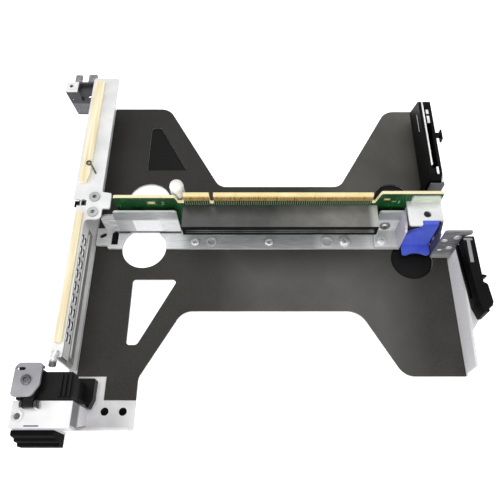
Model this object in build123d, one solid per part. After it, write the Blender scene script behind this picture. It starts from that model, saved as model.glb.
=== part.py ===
import os
from build123d import *

os.makedirs("parts", exist_ok=True)

# Sheet thicknesses, and the deck that the upper pieces stand on
plate_t = 1.0
film_t = 0.4
sheet_t = 1.0
deck = plate_t + film_t
fit = 0.05

# The card slot is 89 mm long; the right end of the cage stands off from its end
slot_len = 89.0
slot_x0 = -13.5
end_x = slot_x0 + slot_len

# Cage plate seen from above: two wings joined by a waist
rear_x = -61.3
far_left_y = 73.4
far_right_y = 71.6
near_y = -74.4
front_y = -97.0
film_front_y = -84.5
leg_x = -30.8
right_far_x = end_x + 32.0
right_near_x = right_far_x + 3.8
step_y = -17.5
far_cut_y = 22.7
near_cut_y = -44.5
film_rear_x = -57.5
bay_x = -44.5

# Side flanges folded up from the plate
near_flange_h = 15.4
far_flange_h = 21.4
far_flange_y0 = 12.0
far_flange_y1 = 60.0
corner_wall_h = 27.4

# Metal leaf in the far card holder
leaf_x = right_far_x - 4.7

# Rear slot frame
frame_top = 22.4
wall_near_y = -71.5
wall_far_y = 76.0
flange_x = -64.2
window_z0 = 3.4
window_z1 = 19.4

# Slot fillers
filler_t = 0.8
hole_pitch = 5.85
hole_count = 9
hole_y = 4.2
hole_z = 2.6
hole_cut = 0.7

# Riser board and its edge contacts
board_t = 1.57
board_x0 = -44.3
board_x1 = end_x + 28.1
board_z0 = 6.4
tongue_top = 31.4
bevel_w = 0.45
bevel_h = 1.3
left_top = 28.6
right_top = 31.9
notch_z = 24.3
key_w = 1.9
tongue_x0 = -12.6
tongue_x1 = 72.6
finger_pitch = 1.0
finger_w = 0.7
finger_t = 0.08
finger_z0 = 25.1
finger_z1 = 30.0

# Card slot on the near face of the board
slot_h = 7.5
slot_d = 11.25
slot_z0 = 14.7
mouth_w = 1.8
mouth_len = 85.6
mouth_d = 8.0
mouth_key_x = 12.6

# Board bracket
upright_y = -4.0
spine_y = -13.0
upright_top = 21.4
left_upright_x0 = -45.9
ear_x0 = -52.6
ear_top = 18.0
left_upright_x1 = -16.5
right_upright_x0 = end_x + 1.2
right_upright_x1 = right_upright_x0 + 12.0
spine_line_y = -9.4
screw_spots = [(-40.0, 13.4), (right_upright_x0 + 4.6, 9.4)]
screw_r = 1.25
rivet_x = [-9.55, 26.2]
rivet_r = 2.0
block_h = 1.6
foot_screw_spots = [(62.6, spine_line_y, 0), (right_upright_x0 + 3.3, -10.0, block_h)]
foot_screw_r = 2.35

# Release latch and the bracket that carries it
shelf_top = 25.9
shelf_x0 = right_upright_x1 - 0.5
shelf_x1 = shelf_x0 + 15.4
back_top = 30.6
release_y = -12.6
release_t = 1.8
pivot_y = -8.4
pivot_z = 20.6
hinge_rod_r = 0.8
barrel_x0 = shelf_x0 + 6.8
ear_x = shelf_x0 + 4.0
pad_z0 = 3.6

# White guide pin beside the contacts, and the post on the rear flange
pin_y = 4.9
pin_r_top = 3.2
post_x = -60.2
post_z = 24.1
post_r = 1.5

# Near card holder on the side flange
holder_w = 4.5
holder_y0 = -53.5
holder_y1 = -18.5
holder_top = 25.4
strip_t = 0.6

# Front corner bracket, card latch and its hinge
box_x0 = -74.2
box_x1 = -50.8
box_y0 = -98.9
box_y1 = -88.7
box_top = 21.4
hinge_y = -90.2
hinge_z = 23.3
hinge_r = 1.5
hinge_pin_r = 0.7
arm_z0 = 15.4
arm_top = 21.9
cap_top = 26.0


def block(x0, x1, y0, y1, z0, z1):
    return Pos((x0 + x1) / 2, (y0 + y1) / 2, (z0 + z1) / 2) * Box(x1 - x0, y1 - y0, z1 - z0)


def outline(corners):
    points = [(c[0], c[1]) for c in corners]
    radii = [c[2] if len(c) > 2 else 0 for c in corners]
    return make_face(FilletPolyline(*points, radius=radii, close=True))


def along_z(corners, z0, z1):
    return Pos(0, 0, z0) * extrude(outline(corners), amount=z1 - z0, dir=(0, 0, 1))


def along_x(corners, x0, x1):
    face = Plane.YZ * outline(corners)
    return Pos(x0, 0, 0) * extrude(face, amount=x1 - x0, dir=(1, 0, 0))


def along_y(corners, y0, y1):
    face = Plane.XZ * outline(corners)
    return Pos(0, y0, 0) * extrude(face, amount=y1 - y0, dir=(0, 1, 0))


def rod_x(y, z, r, x0, x1):
    return Pos((x0 + x1) / 2, y, z) * Rot(0, 90, 0) * Cylinder(r, x1 - x0)


def rod_y(x, z, r, y0, y1):
    return Pos(x, (y0 + y1) / 2, z) * Rot(90, 0, 0) * Cylinder(r, y1 - y0)


def rod_z(x, y, r, z0, z1):
    return Pos(x, y, (z0 + z1) / 2) * Cylinder(r, z1 - z0)


def spun(x, y, corners):
    half = Plane.XZ * make_face(Polyline(*corners, close=True))
    return Pos(x, y, 0) * revolve(half, axis=Axis.Z)


def slot_z(x, y, length, width, z0, z1, turn=0):
    shape = Pos(x, y, z0) * Rot(0, 0, turn) * extrude(SlotOverall(length, width), amount=z1 - z0)
    return shape


# Openings of the plate; the film bridges none of them
finger_holes = [(-33.9, 14.0, 10.6), (-34.1, -12.2, 10.6)]
covered_holes = [(end_x + 18.8, -18.6, 9.9), (end_x + 13.0, 15.2, 9.0)]
near_trapezoid = [(-37.8, -28.8, 1.5), (-16.7, -28.8, 1.5), (-33.0, -60.4, 2.0), (-37.7, -60.4, 1.5)]
far_trapezoid = [(-36.7, 60.5), (-31.7, 60.5), (-16.2, 32.8), (-36.8, 32.8)]


def cut_corners():
    upper = [(-28.0, far_left_y, 8), (1.0, far_cut_y, 6)]
    upper += [(end_x - 12.9, far_cut_y, 6), (end_x + 14.8, far_right_y, 8)]
    lower = [(end_x + 9.1, near_y, 8), (end_x - 8.4, near_cut_y, 10)]
    lower += [(-13.5, near_cut_y, 8), (leg_x, near_y - 0.6, 6)]
    return upper, lower


def fastener_holes(body, z0, z1):
    for x in rivet_x:
        body = body - rod_z(x, spine_line_y, 0.8 + fit, z0, z1)
    for x, y, lift in foot_screw_spots:
        body = body - rod_z(x, y, screw_r + fit, z0, z1)
    return body


def cage_plate():
    upper, lower = cut_corners()
    out_x = right_near_x + sheet_t
    far_out_x = right_far_x + sheet_t
    corners = [(rear_x, far_left_y)] + upper
    corners += [(far_out_x, far_right_y, 1.5), (far_out_x, step_y + sheet_t), (out_x, step_y + sheet_t)]
    corners += [(out_x, near_y, 1.0)] + lower + [(leg_x, front_y, 1.0), (rear_x, front_y)]
    body = along_z(corners, 0, plate_t)
    for x, y, r in finger_holes + covered_holes:
        body = body - rod_z(x, y, r, -1, plate_t + 1)
    body = body - along_z(near_trapezoid, -1, plate_t + 1) - along_z(far_trapezoid, -1, plate_t + 1)
    body = fastener_holes(body, -1, plate_t + 1)
    for x in (-43.7, -36.0):
        body = body - rod_z(x, -89.2, 1.7, -1, plate_t + 1)
    # Side flanges, the corner wall between them and the lip at the front
    near_side = [(near_y + 1, 0), (near_y + 1, near_flange_h - 1.2, 0.9), (step_y, near_flange_h), (step_y, 0)]
    body = body + along_x(near_side, right_near_x, out_x)
    far_side = [(far_flange_y0, 0), (far_flange_y0, far_flange_h), (far_flange_y1, far_flange_h, 3), (far_flange_y1, 0)]
    body = body + along_x(far_side, right_far_x, far_out_x)
    body = body + block(far_out_x - 6.5, far_out_x, far_flange_y0 - sheet_t, far_flange_y0, 0, far_flange_h)
    wall_x = right_far_x - 4.3
    wall = [(wall_x, deck + 0.2), (wall_x, corner_wall_h, 1.2), (out_x + 2.9, corner_wall_h, 0.8)]
    wall += [(out_x + 2.9, corner_wall_h - 2.4, 0.8), (out_x, corner_wall_h - 4.0, 0.8), (out_x, 0)]
    wall += [(wall_x + 1.3, 0), (wall_x + 1.3, deck + 0.2)]
    face = along_y(wall, step_y, step_y + sheet_t)
    for x, z, r in ((6.3, 22.2, 1.3), (5.5, 12.2, 1.1), (1.6, 10.6, 0.7)):
        face = face - rod_y(wall_x + x, z, r, step_y - 1, step_y + 2)
    body = body + face
    body = body - rod_x(step_y - 5.4, 8.6, 1.3, right_near_x - 1, out_x + 1)
    lip = block(rear_x + 0.6, leg_x - 1.8, front_y, front_y + sheet_t, 0, 3.0)
    gusset = [(out_x, -24.0), (out_x + 1.6, -50.0), (out_x + 5.7, -50.0, 0.4), (out_x, -58.0)]
    return body + lip + along_z(gusset, near_flange_h - sheet_t, near_flange_h)


def insulator_film():
    upper, lower = cut_corners()
    corners = [(film_rear_x, far_left_y)] + upper
    corners += [(right_far_x, far_right_y, 1.0), (right_far_x, step_y), (right_near_x, step_y)]
    corners += [(right_near_x, near_y, 0.5)] + lower
    corners += [(leg_x, film_front_y), (bay_x, film_front_y), (bay_x, near_y), (film_rear_x, near_y)]
    body = along_z(corners, plate_t, deck)
    for x, y, r in finger_holes + covered_holes:
        body = body - rod_z(x, y, r, 0, deck + 1)
    body = body - along_z(near_trapezoid, 0, deck + 1) - along_z(far_trapezoid, 0, deck + 1)
    body = body - block(right_far_x - 5.7, right_far_x + 1, far_flange_y0 - sheet_t - 0.2, far_flange_y0 + 0.2, 0, deck + 1)
    body = body - block(right_far_x - 4.5, right_far_x + 1, step_y, step_y + sheet_t + 0.2, 0, deck + 1)
    return fastener_holes(body, 0, deck + 1)


def hole_covers():
    # Dark film patches let into two round holes and the far window of the plate
    body = along_z(far_trapezoid, 0.2, 0.6)
    for x, y, r in covered_holes:
        body = body + rod_z(x, y, r, 0.2, 0.6)
    return body


def slot_frame():
    inner = rear_x + sheet_t
    under = frame_top - sheet_t
    body = block(rear_x, inner, wall_near_y, wall_far_y, plate_t, frame_top)
    for y0, y1 in ((-65.0, -10.0), (12.0, 70.0)):
        window = [(y0, window_z0, 2), (y1, window_z0, 2), (y1, window_z1, 2), (y0, window_z1, 2)]
        body = body - along_x(window, rear_x - 1, inner + 1)
    body = body + block(inner, inner + 2.4, wall_near_y, far_left_y, plate_t, plate_t + sheet_t)
    top = [(flange_x, wall_far_y, 1.5), (flange_x, 2.3), (-58.8, 2.3), (-58.8, -0.4), (-62.3, -0.4)]
    top += [(-62.3, wall_near_y, 0.8), (-57.6, wall_near_y, 0.8), (-57.6, -8.1, 1.5), (-50.4, -8.1, 2.5)]
    top += [(-50.4, -2.4, 0.6), (-47.0, -2.4, 0.6), (-47.0, 5.6, 0.6), (-51.4, 6.4, 0.6), (-51.4, wall_far_y, 1)]
    flange = along_z(top, under, frame_top)
    for x, y in wall_rivet_spots:
        flange = flange - rod_z(x, y, 1.5 + fit, under - 1, frame_top + 1)
    return body + flange


wall_rivet_spots = [(-54.5, 4.6 - 1.0), (-54.3, -4.4)]


def wall_rivets():
    body = None
    for x, y in wall_rivet_spots:
        one = rod_z(x, y, 2.5, frame_top, frame_top + 0.5) + rod_z(x, y, 1.5, frame_top - sheet_t, frame_top)
        one = one - rod_z(x, y, 0.95, frame_top - 2, frame_top + 1)
        body = one if body is None else body + one
    return body


def chamfered(a0, a1, b0, b1, cut):
    corners = [(a0 + cut, b0), (a1 - cut, b0), (a1, b0 + cut), (a1, b1 - cut)]
    return corners + [(a1 - cut, b1), (a0 + cut, b1), (a0, b1 - cut), (a0, b0 + cut)]


def filler(y0, y1, first):
    face_x = rear_x + sheet_t
    body = block(face_x, face_x + filler_t, y0, y1, 2.4, 20.8)
    span = (hole_count - 1) * hole_pitch
    for row in (14.9, 11.2):
        for i in range(hole_count):
            y = first - span + i * hole_pitch
            half_y = hole_y / 2
            half_z = hole_z / 2
            hole = chamfered(y - half_y, y + half_y, row - half_z, row + half_z, hole_cut)
            body = body - along_x(hole, face_x - 1, face_x + 2)
    bead = chamfered(y0 + 2, y1 - 2, 5.4, 8.2, 1.0)
    return body + along_x(bead, face_x + filler_t, face_x + filler_t + 0.7)


def near_filler():
    return filler(-70.0, -6.0, -14.1)


def far_filler():
    return filler(7.0, 71.0, 62.4)


def far_gasket():
    strip = [(-62.6, 11.2, 0.4), (-59.2, 11.2, 0.4), (-58.0, 16.0, 0.8), (-58.0, 72.8, 1.0), (-62.6, 72.8, 1.0)]
    return along_z(strip, frame_top, frame_top + 1.5)


def near_gasket():
    strip = [(-61.3, -65.9, 0.6), (-58.4, -65.9, 0.6), (-58.4, -4.9, 0.6), (-61.3, -4.9, 0.6)]
    return along_z(strip, frame_top, frame_top + 1.5)


def board_bracket():
    front = upright_y
    back = upright_y + sheet_t
    base = [(-57.5, spine_y + 1.6, 0.8), (-51.6, spine_y + 1.6, 0.8), (-51.6, spine_y, 0.8)]
    base += [(right_upright_x1, spine_y, 0.8), (right_upright_x1, back), (left_upright_x0, back)]
    base += [(left_upright_x0, back + 1.0, 0.6), (-57.5, back + 1.0, 0.8)]
    body = along_z(base, deck, deck + sheet_t)
    left = [(ear_x0, deck), (ear_x0, ear_top, 4.0), (left_upright_x0, ear_top), (left_upright_x0, upright_top, 1.5)]
    left += [(left_upright_x1, upright_top, 1.5), (left_upright_x1, deck)]
    body = body + along_y(left, front, back)
    right = [(right_upright_x0, deck), (right_upright_x0, upright_top, 1.5)]
    right += [(right_upright_x1, upright_top), (right_upright_x1, deck)]
    body = body + along_y(right, front, back)
    side = [(spine_y, deck), (spine_y, 19.0, 2.0), (spine_y + 3.0, upright_top, 2.0), (back, upright_top), (back, deck)]
    body = body + along_x(side, right_upright_x1 - sheet_t, right_upright_x1)
    pad = [(right_upright_x0, spine_y), (right_upright_x1, spine_y), (right_upright_x1, front), (right_upright_x0, front, 1.0)]
    body = body + along_z(pad, deck, deck + sheet_t + block_h)
    for x, z in screw_spots:
        body = body - rod_y(x, z, screw_r + fit, front - 1, back + 1)
    body = fastener_holes(body, 0, deck + 4)
    body = body - slot_z(-54.4, -5.9, 3.6, 2.2, 0, deck + 2, 30)
    body = body - slot_z(-48.5, -7.0, 7.8, 2.4, 0, deck + 2, 90)
    for x, r in ((-1.66, 2.45), (54.1, 2.85)):
        ring = rod_z(x, spine_line_y, r, deck + sheet_t, deck + sheet_t + 0.4)
        body = body + (ring - rod_z(x, spine_line_y, r - 0.8, deck, deck + 3))
    return body


def spine_rivets():
    top = deck + sheet_t
    head = [(0, 0.2), (0.8, 0.2), (0.8, top), (rivet_r, top), (rivet_r, top + 0.3), (rivet_r - 0.4, top + 0.7)]
    head += [(0.9, top + 0.7), (0.6, top + 0.1), (0, top + 0.1)]
    return spun(rivet_x[0], spine_line_y, head) + spun(rivet_x[1], spine_line_y, head)


def foot_screws():
    body = None
    for x, y, lift in foot_screw_spots:
        top = deck + sheet_t + lift
        head = [(0, 0.2), (screw_r, 0.2), (screw_r, top), (foot_screw_r, top), (foot_screw_r, top + 0.9)]
        one = spun(x, y, head + [(foot_screw_r - 0.7, top + 1.5), (0, top + 1.7)])
        one = one - block(x - 1.3, x + 1.3, y - 0.3, y + 0.3, top + 0.8, top + 3)
        one = one - block(x - 0.3, x + 0.3, y - 1.3, y + 1.3, top + 0.8, top + 3)
        body = one if body is None else body + one
    return body


def board_standoffs():
    body = None
    for x, z in screw_spots:
        one = rod_y(x, z, 2.5, upright_y + sheet_t, -board_t / 2)
        one = one - rod_y(x, z, screw_r + fit, upright_y, 1)
        body = one if body is None else body + one
    return body


def board_screws():
    body = None
    head = [(0, 1.5), (1.9, 1.5), (2.5, 0.9), (2.5, 0), (screw_r, 0), (screw_r, upright_y - board_t / 2)]
    for x, z in screw_spots:
        one = Pos(x, upright_y, z) * Rot(90, 0, 0) * spun(0, 0, head + [(0, upright_y - board_t / 2)])
        one = one - block(x - 1.3, x + 1.3, upright_y - 3, upright_y - 0.8, z - 0.3, z + 0.3)
        one = one - block(x - 0.3, x + 0.3, upright_y - 3, upright_y - 0.8, z - 1.3, z + 1.3)
        body = one if body is None else body + one
    return body


def riser_board():
    half_key = key_w / 2
    edge = [(board_x0, board_z0, 1), (board_x1, board_z0, 1), (board_x1, right_top, 0.6)]
    edge += [(tongue_x1 + 3.5, right_top, 1.0), (tongue_x1 + 1.6, notch_z, 0.5), (tongue_x1, notch_z, 0.4), (tongue_x1, tongue_top, 0.5)]
    edge += [(half_key, tongue_top, 0.4), (half_key, 23.9, 0.6), (-half_key, 23.9, 0.6), (-half_key, tongue_top, 0.4)]
    edge += [(tongue_x0, tongue_top, 0.5), (tongue_x0, notch_z, 0.4), (-15.5, notch_z, 0.5)]
    edge += [(-16.6, left_top, 0.8), (board_x0, left_top, 0.8)]
    half = board_t / 2
    body = along_y(edge, -half, half)
    for side in (-1, 1):
        bevel = [(side * (half - bevel_w), tongue_top), (side * half, tongue_top - bevel_h)]
        bevel += [(side * (half + 1), tongue_top - bevel_h), (side * (half + 1), tongue_top + 1)]
        bevel += [(side * (half - bevel_w), tongue_top + 1)]
        body = body - along_x(bevel, tongue_x0 - 0.5, tongue_x1 + 0.5)
    for x, z in screw_spots:
        body = body - rod_y(x, z, screw_r + fit, -board_t, board_t)
    return body


def edge_contacts():
    half = board_t / 2
    pads = []
    left_count = 11
    right_count = 71
    starts = [(-key_w / 2 - 0.5 - (left_count - 1) * finger_pitch, left_count), (key_w / 2 + 0.5, right_count)]
    for side in (-1, 1):
        near = side * half
        far = side * (half + finger_t)
        for start, count in starts:
            for i in range(count):
                x = start + i * finger_pitch
                low = min(near, far)
                high = max(near, far)
                pads.append(block(x - finger_w / 2, x + finger_w / 2, low, high, finger_z0, finger_z1))
    return Compound(children=pads)


def front_slot():
    face = -board_t / 2 - slot_d
    body = block(slot_x0, slot_x0 + slot_len, face, -board_t / 2, slot_z0, slot_z0 + slot_h)
    middle_z = slot_z0 + slot_h / 2
    mouth_x0 = slot_x0 + (slot_len - mouth_len) / 2
    key_x = slot_x0 + mouth_key_x
    z0 = middle_z - mouth_w / 2
    z1 = middle_z + mouth_w / 2
    body = body - block(mouth_x0, key_x - 0.9, face - 1, face + mouth_d, z0, z1)
    body = body - block(key_x + 0.9, mouth_x0 + mouth_len, face - 1, face + mouth_d, z0, z1)
    # A shallow step runs along the mouth where a card edge is guided in
    return body - block(mouth_x0 - 0.4, mouth_x0 + mouth_len + 0.4, face - 1, face + 0.8, z0 - 0.6, z1 + 0.6)


def guide_pin():
    r = pin_r_top
    dome = [(0, deck), (2.0, deck), (2.0, 23.0), (r, 23.0), (r, 29.4), (r - 0.3, 30.6), (r - 1.0, 31.4)]
    return spun(-15.9, pin_y, dome + [(r - 2.0, 31.9), (0, 32.0)])


def locating_post():
    # A steel post pointing to the front, held in an ear on the near end of the flange
    body = rod_y(post_x, post_z, post_r, -76.0, wall_near_y)
    body = chamfer(body.edges().group_by(Axis.Y)[0], 0.4)
    ear = [(-61.8, frame_top), (-61.8, 25.0, 1.2), (-58.6, 25.0, 1.2), (-58.6, frame_top)]
    return body + along_y(ear, wall_near_y, wall_near_y + 2.0)


def latch_bracket():
    back = -board_t / 2
    under = shelf_top - sheet_t
    edge_y = release_y + release_t
    step_x = shelf_x0 + 6.0
    shelf = [(shelf_x0, back), (shelf_x0, release_y - 0.8, 1.2), (step_x, release_y - 0.8, 0.8), (step_x, edge_y, 0.4)]
    shelf += [(shelf_x1, edge_y), (shelf_x1, back)]
    body = along_z(shelf, under, shelf_top)
    body = body - rod_z(step_x + 2.6, -7.6, 1.7, under - 1, shelf_top + 1)
    plate = [(shelf_x0 + 0.9, 8.0), (shelf_x0 + 0.9, shelf_top), (shelf_x0 + 1.8, shelf_top)]
    plate += [(shelf_x0 + 1.8, back_top, 1.2), (shelf_x1 - 0.8, back_top, 1.2), (shelf_x1 - 0.8, shelf_top)]
    body = body + along_y(plate + [(shelf_x1, shelf_top), (shelf_x1, 8.0)], back - sheet_t, back)
    # Left ear and right leg carry the hinge pin; the leg stands on the film
    ear = [(pivot_y - 1.9, shelf_top - 0.5), (pivot_y - 1.9, pivot_z - 1.8, 1.6)]
    ear += [(pivot_y + 1.9, pivot_z - 1.8, 1.6), (pivot_y + 1.9, shelf_top - 0.5)]
    body = body + along_x(ear, ear_x, ear_x + 0.9)
    leg = [(release_y - 1.2, deck), (release_y - 1.2, 20.0, 1.5), (edge_y, shelf_top), (back, shelf_top), (back, 12.0)]
    leg += [(-8.0, deck + 6.0, 2.0), (-8.0, deck)]
    body = body + along_x(leg, shelf_x1 - sheet_t, shelf_x1)
    return body - rod_x(pivot_y, pivot_z, hinge_rod_r + fit, shelf_x0, shelf_x1 + 5)


def release_latch_pin():
    return rod_x(pivot_y, pivot_z, hinge_rod_r, ear_x - 0.4, shelf_x1 + 0.4)


def release_latch_spring():
    # Close-wound coil round the pin, one end up against the shelf
    x0 = ear_x + 1.1
    wire = 0.45
    body = None
    for i in range(3):
        turn = rod_x(pivot_y, pivot_z, 1.75, x0 + i * wire, x0 + (i + 1) * wire - 0.08)
        body = turn if body is None else body + turn
    body = body + rod_x(pivot_y, pivot_z, 1.5, x0, x0 + 3 * wire)
    body = body - rod_x(pivot_y, pivot_z, hinge_rod_r + 0.15, x0 - 1, x0 + 3)
    leg = block(x0, x0 + wire, pivot_y + 1.0, pivot_y + 1.45, pivot_z, shelf_top - sheet_t)
    return body + leg


def release_latch():
    y0 = release_y
    y1 = release_y + release_t
    left = shelf_x0 + 1.0
    neck = shelf_x0 + 6.4
    right = shelf_x0 + 13.4
    plate = [(neck, 25.6, 0.6), (right, 25.6, 0.6), (right, pad_z0), (left, pad_z0), (left, 16.0, 2.0), (neck, 19.6, 1.5)]
    body = along_y(plate, y0, y1)
    pad = [(left, y0 + 0.5), (left, y0 - 4.6, 0.9), (left + 1.8, y0 - 4.9, 0.8), (left + 6.3, y0 - 2.9, 8.0)]
    pad += [(right - 1.2, y0 - 4.9, 0.8), (right + 0.5, y0 - 4.6, 0.9), (right + 0.5, y0 + 0.5)]
    body = body + along_z(pad, pad_z0, pad_z0 + 1.8)
    # Hinge barrel joined to the back of the plate by a web
    barrel = rod_x(pivot_y, pivot_z, 1.9, barrel_x0, right)
    web = block(barrel_x0, right, y1 - 0.2, pivot_y, pivot_z - 1.5, pivot_z + 0.4)
    body = body + barrel + web
    return body - rod_x(pivot_y, pivot_z, hinge_rod_r + fit, shelf_x0, shelf_x1 + 5)


def strip_outline():
    x0 = right_near_x - 0.3
    bar = [(x0, -19.0), (x0 + 4.1, -19.0), (x0 + 4.1, -20.4), (x0 + 3.0, -20.4)]
    return bar + [(x0 + 3.0, -31.0), (x0 + 1.2, -31.0), (x0 + 1.2, -20.4), (x0, -20.4)]


def near_card_holder():
    x0 = right_near_x - 0.7
    x1 = right_near_x + holder_w
    low = near_flange_h
    shape = [(x0, holder_y1, 0.6), (x0 + 2.2, holder_y0 + 5.0, 0.8), (x0 + 4.0, holder_y0, 0.5)]
    shape += [(x1 + 0.6, holder_y0, 0.5), (x1, holder_y1, 0.6)]
    body = along_z(shape, low, holder_top)
    # The end of the card slides into this groove
    body = body - block(x0 - 1, x0 + 3.0, holder_y0 + 8.5, holder_y1 + 1, 17.2, 19.8)
    body = body - along_z(strip_outline(), holder_top - 1.0, holder_top + 1)
    body = body + block(right_near_x + sheet_t, x1, -49.0, -26.0, 6.0, near_flange_h - sheet_t)
    body = body + block(right_near_x + sheet_t + 2.0, x1, -49.0, -26.0, 6.0, low)
    # Finger lever and spur moulded with the holder
    lever = [(x1, -40.0), (x1, -50.2, 0.5), (x1 + 2.0, -51.6, 0.8), (x1 + 2.9, -49.0, 1.0), (x1 + 2.0, -41.0, 1.0)]
    body = body + along_z(lever, 21.0, holder_top)
    spur = [(x1 - 0.3, -36.2), (x1 + 2.4, -36.8, 0.2), (x1 + 2.4, -37.5, 0.2), (x1 - 0.3, -38.3)]
    return body + along_z(spur, 22.0, 24.8)


def near_holder_spring():
    return along_z(strip_outline(), holder_top - 1.0, holder_top - 1.0 + strip_t)


def far_card_holder():
    x0 = right_far_x - 6.0
    x1 = right_far_x
    top = 23.8
    side = [(13.0, deck + 1.0, 1), (13.0, top - 3.0, 2.5), (16.0, top, 2.5), (59.3, top, 1.0), (64.6, 8.7, 1.0)]
    body = along_x(side + [(64.6, deck + 1.0)], x0, x1)
    body = body - block(leaf_x, x1 - 1.4, 19.0, 54.5, top - 7.0, top + 1)
    body = body - block(x0 - 1, x0 + 3.0, 18.0, 66.0, deck, 8.5)
    # A narrow bridge over the flange carries the outer clip
    body = body + block(x1 - 1.5, x1 + 3.2, 38.0, 39.6, far_flange_h, top)
    return body + block(x1 + 2.5, x1 + 3.2, 36.0, 41.5, 20.6, top)


def far_holder_spring():
    side = [(20.4, 17.0), (20.4, 24.4, 0.4), (59.0, 24.4, 0.3), (59.0, 23.8), (54.5, 23.8), (54.5, 17.0)]
    return along_x(side, leaf_x, leaf_x + 0.7)


def corner_hook():
    top = 21.4
    floor_z = 18.9
    low = 14.7
    rim = [(-72.5, 74.4), (-73.4, 69.5), (-69.4, 60.5), (-68.4, 60.0), (-64.8, 62.4), (rear_x, 62.4)]
    flange = [(rear_x, 53.8), (-69.9, 53.8, 0.8), (-78.4, 67.9, 0.6), (-78.4, 74.4, 0.4)]
    body = along_z(flange + rim, top - sheet_t, top)
    body = body + along_z(rim + [(rear_x, 74.4)], floor_z - sheet_t, floor_z)
    # Walls of the pocket, and a diamond pressed into its floor
    inside = [(-71.5, 73.4), (-72.3, 69.6), (-68.6, 61.3), (-65.1, 63.4), (rear_x, 63.4), (rear_x, 73.4)]
    wall = along_z(rim + [(rear_x, 74.4)], low, top) - along_z(inside, low - 1, top + 1)
    body = body + wall
    body = body - along_z([(-71.0, 64.6), (-69.8, 67.2), (-68.7, 64.6), (-69.8, 62.6)], floor_z - 0.5, floor_z + 1)
    body = body - rod_z(-66.4, 67.0, 0.9, low, top + 1) - rod_z(-73.8, 63.2, 0.6, low, top + 1)
    body = body - rod_z(-75.9, 71.6, 0.9, top - 0.6, top + 1)
    return body + block(-74.5, -71.3, 74.4, 79.2, top - 1.6, top) + block(-67.7, -63.6, 74.4, 79.6, top - 1.6, top)


def front_corner_bracket():
    under = box_top - sheet_t
    body = block(box_x0, box_x1, box_y0, box_y1, under, box_top)
    body = body - rod_z(-71.6, -94.5, 1.3, under - 1, box_top + 1)
    body = body + block(box_x0, box_x1, box_y0, box_y0 + sheet_t, 14.0, box_top)
    body = body + block(box_x0, -58.2, box_y0, box_y0 + sheet_t, 2.0, box_top)
    body = body + block(-60.6, box_x1, box_y1 - sheet_t, box_y1, plate_t, box_top)
    side = [(box_y0, under), (box_y1, under), (box_y1, plate_t), (front_y + 2.0, plate_t)]
    body = body + along_x(side, box_x1 - sheet_t, box_x1)
    body = body + block(box_x0, box_x0 + sheet_t, box_y0, box_y1, 2.0, box_top)
    body = body + block(box_x0, rear_x - 0.6, box_y0, box_y1, 2.0, 3.0)
    ring = rod_z(-71.6, -94.5, 2.4, box_top, box_top + 0.4) - rod_z(-71.6, -94.5, 1.9, box_top - 1, box_top + 1)
    body = body + ring
    # Ears that carry the hinge pin of the card latch
    ear = [(hinge_y - 1.7, under + 0.5), (hinge_y - 1.7, hinge_z + 1.5, 1.4)]
    ear += [(hinge_y + 1.5, hinge_z + 1.5, 1.4), (hinge_y + 1.5, under + 0.5)]
    body = body + along_x(ear, -70.2, -69.3) + along_x(ear, -64.6, -63.7)
    return body - rod_x(hinge_y, hinge_z, hinge_pin_r + fit, -76, -60)


def card_latch_pin():
    return rod_x(hinge_y, hinge_z, hinge_pin_r, -70.6, -63.3)


def card_latch():
    near = box_y1 + 0.4
    arm = along_z([(-73.0, near), (-51.2, near, 1.0), (-51.2, -77.5, 1.5), (-73.0, -77.5)], arm_z0, arm_top)
    # The lower front edge is bevelled to swing past the locating post
    arm = arm - along_x([(-80.6, arm_z0), (-77.5, arm_z0 + 3.3), (-76.0, arm_z0 + 3.3), (-76.0, arm_z0 - 1), (-80.6, arm_z0 - 1)], -64.6, -50)
    under_cap = along_z([(-72.6, -87.6), (-64.6, -87.6, 1.0), (-64.6, -75.8, 1.0), (-72.6, -75.8, 1.0)], arm_z0, cap_top - 1.1)
    body = arm + under_cap
    for x in (-56.6, -54.8, -53.0):
        body = body + block(x, x + 0.9, near + 1.0, -78.5, arm_top, arm_top + 0.9)
    knuckle = rod_x(hinge_y, hinge_z, hinge_r, -68.9, -65.0)
    neck = block(-68.9, -65.0, hinge_y, -87.4, hinge_z - 1.1, hinge_z + 1.3)
    body = body + knuckle + neck
    return body - rod_x(hinge_y, hinge_z, hinge_pin_r + fit, -69.2, -64.7)


def latch_clamp():
    under = cap_top - 1.1
    shape = [(-73.8, -88.0, 1.5), (-73.8, -74.8, 2.5), (-63.2, -74.8, 1.2), (-63.2, -83.4, 3.0), (-66.0, -88.0, 2.5)]
    body = along_z(shape, under, cap_top)
    body = body - slot_z(-71.4, -77.2, 3.6, 1.3, under - 1, cap_top + 1, 0)
    body = body + block(-73.8, -72.8, -86.4, -77.4, arm_top, cap_top - 0.5)
    body = body + block(-71.4, -64.4, -75.8, -74.8, arm_top - 2.0, cap_top - 0.5)
    return body


def latch_screw():
    x, y = -68.6, -81.6
    z = cap_top
    return spun(x, y, [(0, z), (2.0, z), (2.0, z + 0.5), (1.6, z + 0.9), (0.95, z + 0.9), (0.8, z + 0.3), (0, z + 0.3)])


def latch_base():
    foot = [(-57.4, -76.2), (-48.0, -76.2, 0.6), (-48.0, -84.6, 1.0), (-49.4, -88.3, 0.4)]
    foot += [(-50.4, -88.3, 0.3), (-51.4, -86.0, 0.8), (-57.4, -86.0)]
    body = along_z(foot, plate_t, 5.4)
    return body + block(-57.4, -51.6, -86.0, -79.0, plate_t, arm_z0)


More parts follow.
